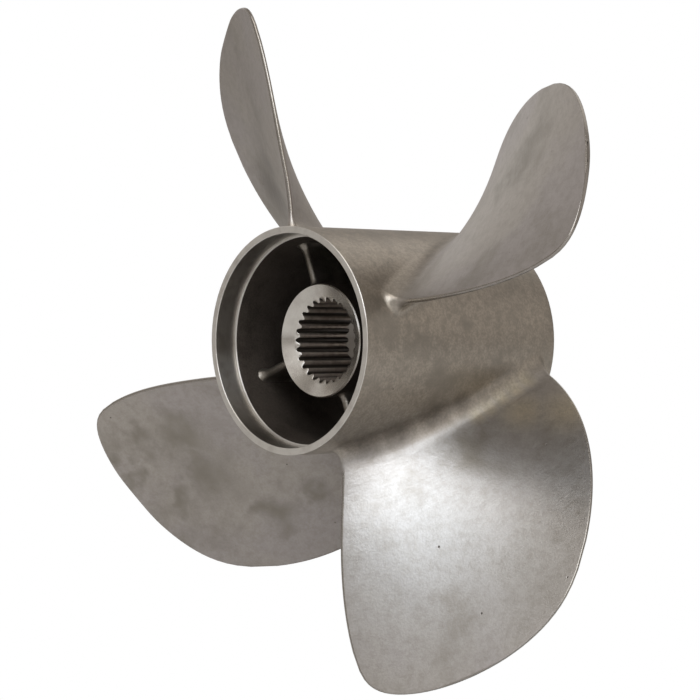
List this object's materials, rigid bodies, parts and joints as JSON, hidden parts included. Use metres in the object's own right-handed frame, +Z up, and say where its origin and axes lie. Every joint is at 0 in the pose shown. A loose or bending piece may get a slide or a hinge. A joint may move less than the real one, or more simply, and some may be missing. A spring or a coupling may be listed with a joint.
{
  "type": "ship propeller",
  "caption": "Cast steel ship propeller: broad swept blades on a hollow barrel, with a splined inner hub carried on ribs. It drives a vessel, and exhaust gas leaves through its barrel.",
  "frame": {"origin": "on the shaft axis, in the plane of the forward rim", "axes": "+Y along the shaft axis from the forward end to the aft end, +Z up"},
  "size_m": [0.3576, 0.1426, 0.3576],
  "materials": {
    "machined_steel": "turned, bright satin",
    "ground_steel": "ground satin with grey-brown stains",
    "cast_steel": "rough as cast, dark brown"
  },
  "bodies": {
    "root": {"mouth_rim": "machined_steel", "barrel": "ground_steel", "aft_rim": "ground_steel", "inner_hub": "machined_steel", "splined_bore": "machined_steel", "rib_1": "cast_steel", "rib_2": "cast_steel", "rib_3": "cast_steel", "rib_4": "cast_steel", "blade_1": "ground_steel", "blade_2": "ground_steel", "blade_3": "ground_steel", "blade_4": "ground_steel"}
  },
  "joints": []
}
